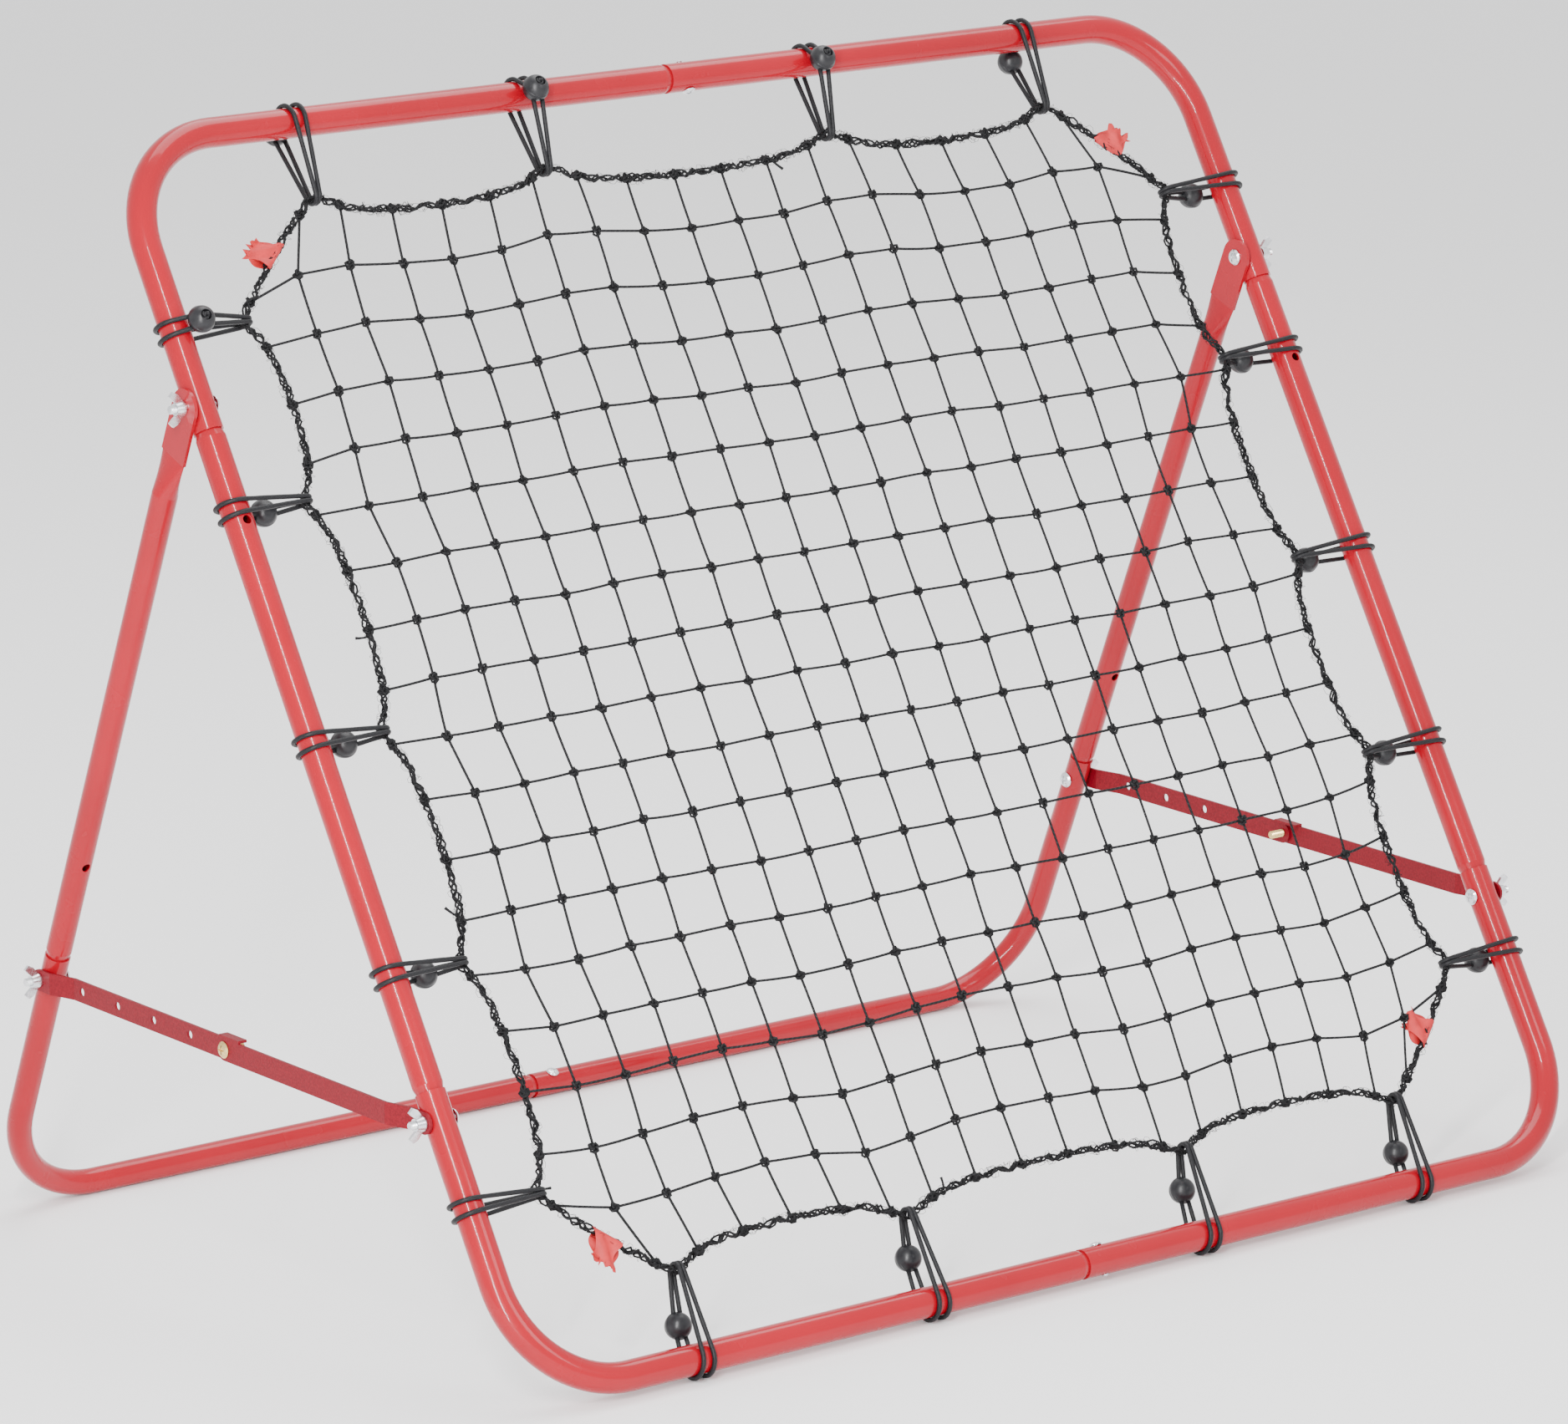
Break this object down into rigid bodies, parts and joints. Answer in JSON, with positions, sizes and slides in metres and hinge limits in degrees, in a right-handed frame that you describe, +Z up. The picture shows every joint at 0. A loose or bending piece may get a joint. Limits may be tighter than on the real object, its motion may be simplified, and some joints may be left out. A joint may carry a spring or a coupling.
{
  "type": "pitch back rebounder",
  "caption": "Leaning tubular steel frame with a square-mesh net held by elastic loops, on a folding rear stand with stepped side struts.",
  "frame": {"origin": "middle of the whole object's footprint, on the floor", "axes": "+Z up; -Y is the side the net faces, towards the player; +X to the player's right when seen from the front"},
  "size_m": [1.0404, 0.6658, 0.834],
  "materials": {
    "frame_paint": "gloss red enamel on steel tube",
    "strut_paint": "textured satin red enamel on flat bar",
    "zinc_plate": "bright zinc plate",
    "yellow_zinc": "yellow passivated zinc",
    "net_twine": "twisted black twine",
    "hem_cord": "soft black knitted cord",
    "elastic_cord": "black covered elastic",
    "ball_plastic": "satin black moulded plastic",
    "tag_tape": "thin red tape"
  },
  "bodies": {
    "front_frame": {"bottom_bungee_balls": "ball_plastic", "bottom_bungee_cords": "elastic_cord", "bottom_joint_screw": "zinc_plate", "bottom_left_corner_tube": "frame_paint", "bottom_right_corner_tube": "frame_paint", "left_bungee_balls": "ball_plastic", "left_bungee_cords": "elastic_cord", "left_front_strut_bolt": "zinc_plate", "left_pivot_bolt": "zinc_plate", "left_side_tube": "frame_paint", "net": "net_twine", "net_corner_tags": "tag_tape", "net_hem_cord": "hem_cord", "right_bungee_balls": "ball_plastic", "right_bungee_cords": "elastic_cord", "right_front_strut_bolt": "zinc_plate", "right_pivot_bolt": "zinc_plate", "right_side_tube": "frame_paint", "top_bungee_balls": "ball_plastic", "top_bungee_cords": "elastic_cord", "top_joint_screw": "zinc_plate", "top_left_corner_tube": "frame_paint", "top_right_corner_tube": "frame_paint"},
    "stand": {"left_rear_strut_bolt": "zinc_plate", "left_stand_corner_tube": "frame_paint", "left_upper_leg": "frame_paint", "right_rear_strut_bolt": "zinc_plate", "right_stand_corner_tube": "frame_paint", "right_upper_leg": "frame_paint", "stand_joint_screw": "zinc_plate"},
    "left_front_bar": {"left_strut_front_bar": "strut_paint", "left_locking_screw": "yellow_zinc"},
    "left_rear_bar": {"left_strut_rear_bar": "strut_paint"},
    "left_pivot_nut": {"left_pivot_wing_nut": "zinc_plate"},
    "left_front_strut_nut": {"left_front_strut_wing_nut": "zinc_plate"},
    "left_rear_strut_nut": {"left_rear_strut_wing_nut": "zinc_plate"},
    "right_front_bar": {"right_strut_front_bar": "strut_paint", "right_locking_screw": "yellow_zinc"},
    "right_rear_bar": {"right_strut_rear_bar": "strut_paint"},
    "right_pivot_nut": {"right_pivot_wing_nut": "zinc_plate"},
    "right_front_strut_nut": {"right_front_strut_wing_nut": "zinc_plate"},
    "right_rear_strut_nut": {"right_rear_strut_wing_nut": "zinc_plate"}
  },
  "joints": [
    {"name": "stand_fold", "type": "hinge", "parent": "front_frame", "child": "stand", "pos_m": [0.00555, 0.05786, 0.64417], "axis": [1, 0, 0], "range_deg": [-22.47, 0], "deforming": ["left_locking_screw", "right_locking_screw"]},
    {"name": "left_front_bar_turn", "type": "hinge", "parent": "front_frame", "child": "left_front_bar", "pos_m": [-0.48345, -0.21446, 0.18831], "axis": [1, 0, 0], "range_deg": [-7.41, 0.2]},
    {"name": "left_rear_bar_turn", "type": "hinge", "parent": "stand", "child": "left_rear_bar", "pos_m": [-0.49605, 0.24548, 0.19584], "axis": [1, 0, 0], "range_deg": [-0.2, 15.46]},
    {"name": "right_front_bar_turn", "type": "hinge", "parent": "front_frame", "child": "right_front_bar", "pos_m": [0.49455, -0.21446, 0.18831], "axis": [1, 0, 0], "range_deg": [-7.41, 0.2]},
    {"name": "right_rear_bar_turn", "type": "hinge", "parent": "stand", "child": "right_rear_bar", "pos_m": [0.48195, 0.24548, 0.19584], "axis": [1, 0, 0], "range_deg": [-0.2, 15.46]},
    {"name": "left_pivot_nut_turn", "type": "hinge", "parent": "front_frame", "child": "left_pivot_nut", "pos_m": [-0.50345, 0.05786, 0.64417], "axis": [1, 0, 0], "continuous": true},
    {"name": "left_front_strut_nut_turn", "type": "hinge", "parent": "front_frame", "child": "left_front_strut_nut", "pos_m": [-0.50345, -0.21446, 0.18831], "axis": [1, 0, 0], "continuous": true},
    {"name": "left_rear_strut_nut_turn", "type": "hinge", "parent": "stand", "child": "left_rear_strut_nut", "pos_m": [-0.50345, 0.24548, 0.19584], "axis": [1, 0, 0], "continuous": true},
    {"name": "right_pivot_nut_turn", "type": "hinge", "parent": "front_frame", "child": "right_pivot_nut", "pos_m": [0.51455, 0.05786, 0.64417], "axis": [1, 0, 0], "continuous": true},
    {"name": "right_front_strut_nut_turn", "type": "hinge", "parent": "front_frame", "child": "right_front_strut_nut", "pos_m": [0.51455, -0.21446, 0.18831], "axis": [1, 0, 0], "continuous": true},
    {"name": "right_rear_strut_nut_turn", "type": "hinge", "parent": "stand", "child": "right_rear_strut_nut", "pos_m": [0.51455, 0.24548, 0.19584], "axis": [1, 0, 0], "continuous": true}
  ],
  "couplings": [
    {"joint": "left_front_bar_turn", "follows": "stand_fold", "ratio": 0.32077},
    {"joint": "left_rear_bar_turn", "follows": "stand_fold", "ratio": -0.67923},
    {"joint": "right_front_bar_turn", "follows": "stand_fold", "ratio": 0.32077},
    {"joint": "right_rear_bar_turn", "follows": "stand_fold", "ratio": -0.67923}
  ]
}
